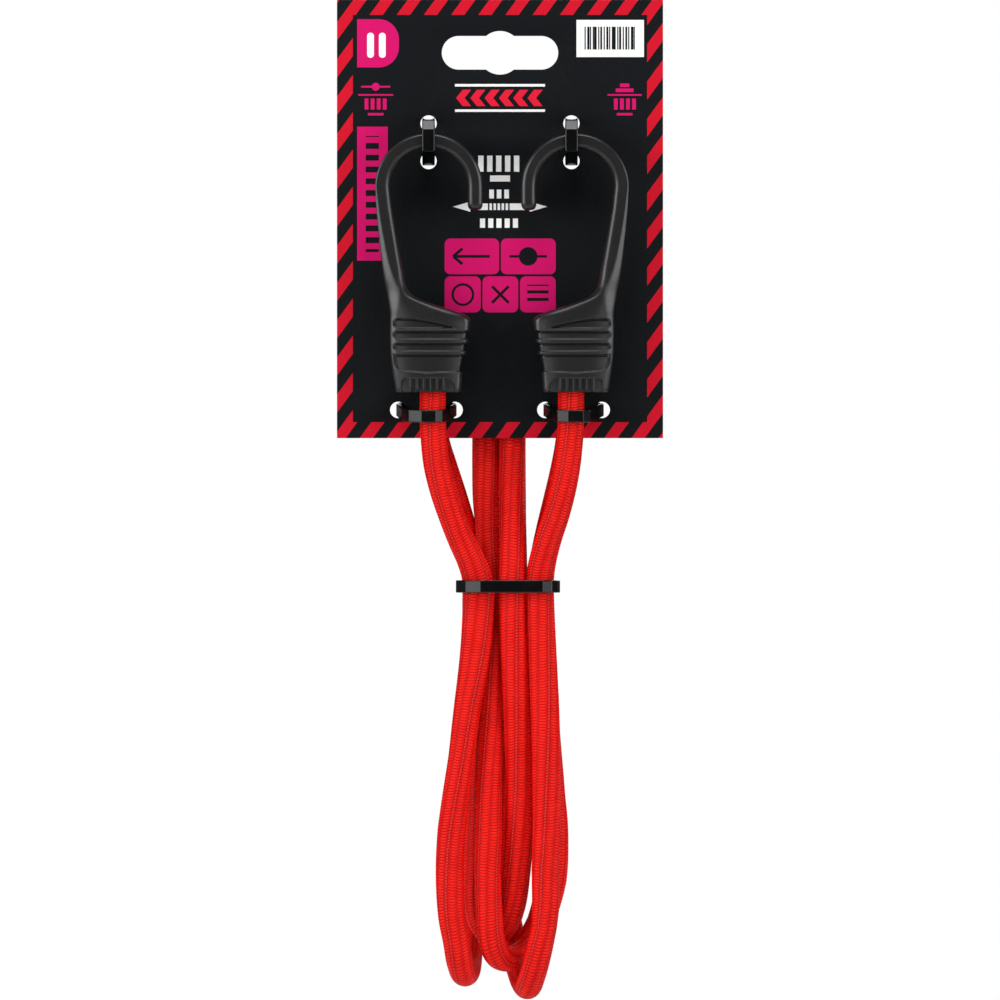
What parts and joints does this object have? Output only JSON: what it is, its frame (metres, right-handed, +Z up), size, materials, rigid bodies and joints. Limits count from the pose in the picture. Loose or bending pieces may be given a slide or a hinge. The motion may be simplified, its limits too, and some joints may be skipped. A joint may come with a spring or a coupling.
{
  "type": "bungee cord",
  "caption": "Bungee cords with moulded hooks on folded braided elastic cord, fastened to a black hanging header card with cable ties.",
  "frame": {"origin": "top of the hang slot in the middle of the card's thickness, where a display peg bears", "axes": "+Z up the card, -Y out of the card's front, +X to the right as seen from the front"},
  "size_m": [0.0914, 0.0414, 0.2799],
  "materials": {
    "board": "matt printed board, black with red stripes along three edges and plain magenta panels",
    "hook": "satin moulded plastic",
    "braid": "tight polyester braid with fine crosswise ribs",
    "latex": "natural latex",
    "stop": "rolled steel",
    "tie": "glossy nylon"
  },
  "bodies": {
    "card": {"header_card": "board", "cord_stop_front_left": "stop", "cord_stop_front_right": "stop", "cord_stop_back_left": "stop", "cord_stop_back_right": "stop", "cord_sheath_first": "braid", "cord_core_first": "latex", "cord_sheath_second": "braid", "cord_core_second": "latex", "arch_tie_left": "tie", "arch_tie_right": "tie", "cord_tie_left": "tie", "cord_tie_right": "tie"},
    "hook_front_left": {"hook_front_left": "hook"},
    "hook_front_right": {"hook_front_right": "hook"},
    "hook_back_left": {"hook_back_left": "hook"},
    "hook_back_right": {"hook_back_right": "hook"},
    "bundle_tie": {"bundle_tie": "tie"}
  },
  "joints": [
    {"name": "front_left_swivel", "type": "hinge", "parent": "card", "child": "hook_front_left", "pos_m": [-0.0188, -0.0085, -0.092], "axis": [0, 0, 1], "range_deg": [-5, 5]},
    {"name": "front_right_swivel", "type": "hinge", "parent": "card", "child": "hook_front_right", "pos_m": [0.0199, -0.0085, -0.092], "axis": [0, 0, 1], "range_deg": [-5, 5]},
    {"name": "back_left_swivel", "type": "hinge", "parent": "card", "child": "hook_back_left", "pos_m": [-0.0188, 0.0085, -0.092], "axis": [0, 0, 1], "range_deg": [-5, 5]},
    {"name": "back_right_swivel", "type": "hinge", "parent": "card", "child": "hook_back_right", "pos_m": [0.0199, 0.0085, -0.092], "axis": [0, 0, 1], "range_deg": [-5, 5]},
    {"name": "bundle_tie_slide", "type": "slide", "parent": "card", "child": "bundle_tie", "axis": [0, 0, 1], "range_m": [-0.006, 0.001]}
  ]
}
